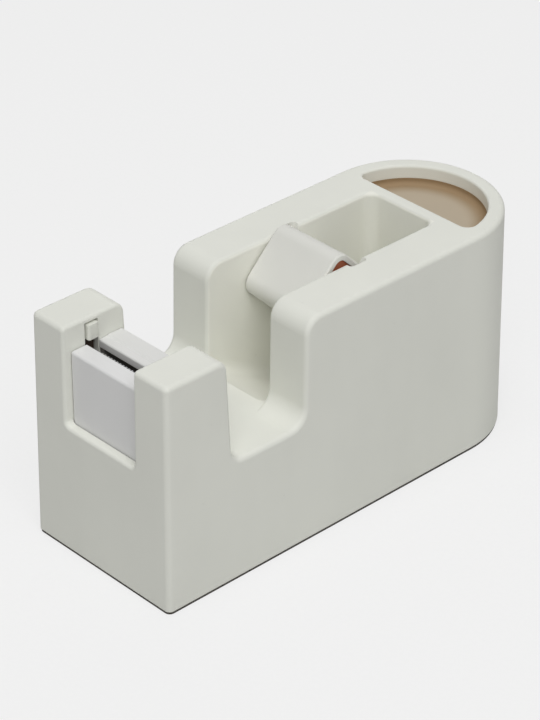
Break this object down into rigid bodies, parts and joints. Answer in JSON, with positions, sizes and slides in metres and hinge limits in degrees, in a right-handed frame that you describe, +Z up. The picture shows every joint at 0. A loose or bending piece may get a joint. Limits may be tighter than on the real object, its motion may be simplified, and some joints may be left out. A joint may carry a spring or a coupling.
{
  "type": "desk tape dispenser with a pen tray",
  "caption": "Long desk tape dispenser with a round end: a guarded cutter in the front tower, a cross trough, a well with a lift-out spinning hub, and a shallow D-shaped tray on top.",
  "frame": {"origin": "on the table under the middle of the body's footprint", "axes": "+Z up, -Y towards the cutter end that faces the user, +X to the right seen from the round end"},
  "size_m": [0.0506, 0.1332, 0.0678],
  "materials": {
    "ivory_abs": "satin moulded",
    "cool_white_abs": "satin moulded",
    "hub_white": "satin moulded",
    "beige_abs": "fine matt",
    "brown_abs": "matt",
    "rubber_pad": "matt",
    "steel_weight": "raw",
    "bright_steel": "ground",
    "zinc_screws": "zinc plated"
  },
  "bodies": {
    "base": {"body_shell": "ivory_abs", "base_plate": "ivory_abs", "base_screws": "zinc_screws", "antislip_pad": "rubber_pad", "ballast_front": "steel_weight", "ballast_rear": "steel_weight", "tray_insert": "beige_abs", "cutter_cradle": "cool_white_abs", "cradle_screws": "zinc_screws", "tape_rest": "cool_white_abs", "guard_spring_left": "bright_steel", "guard_spring_right": "bright_steel"},
    "guard": {"blade_guard": "cool_white_abs"},
    "blade_slider": {"blade": "bright_steel", "blade_clamp": "bright_steel", "blade_screws": "zinc_screws", "blade_carrier": "ivory_abs"},
    "hub_carrier": {"axle": "bright_steel", "axle_block_left": "ivory_abs", "axle_block_right": "ivory_abs"},
    "hub": {"hub_shell": "hub_white", "hub_core": "brown_abs"}
  },
  "joints": [
    {"name": "guard_press", "type": "slide", "parent": "base", "child": "guard", "axis": [0, 0, -1], "range_m": [0, 0.003], "stiffness_N_per_m": 400, "springref_m": -0.0015, "deforming": ["guard_spring_left", "guard_spring_right"]},
    {"name": "blade_retract", "type": "slide", "parent": "base", "child": "blade_slider", "axis": [0, 0, -1], "range_m": [0, 0.003]},
    {"name": "hub_lift", "type": "slide", "parent": "base", "child": "hub_carrier", "axis": [0, 0.3811, 0.9245], "range_m": [0, 0.03]},
    {"name": "hub_spin", "type": "hinge", "parent": "hub_carrier", "child": "hub", "pos_m": [0, 0.00505, 0.0552], "axis": [1, 0, 0], "continuous": true}
  ]
}
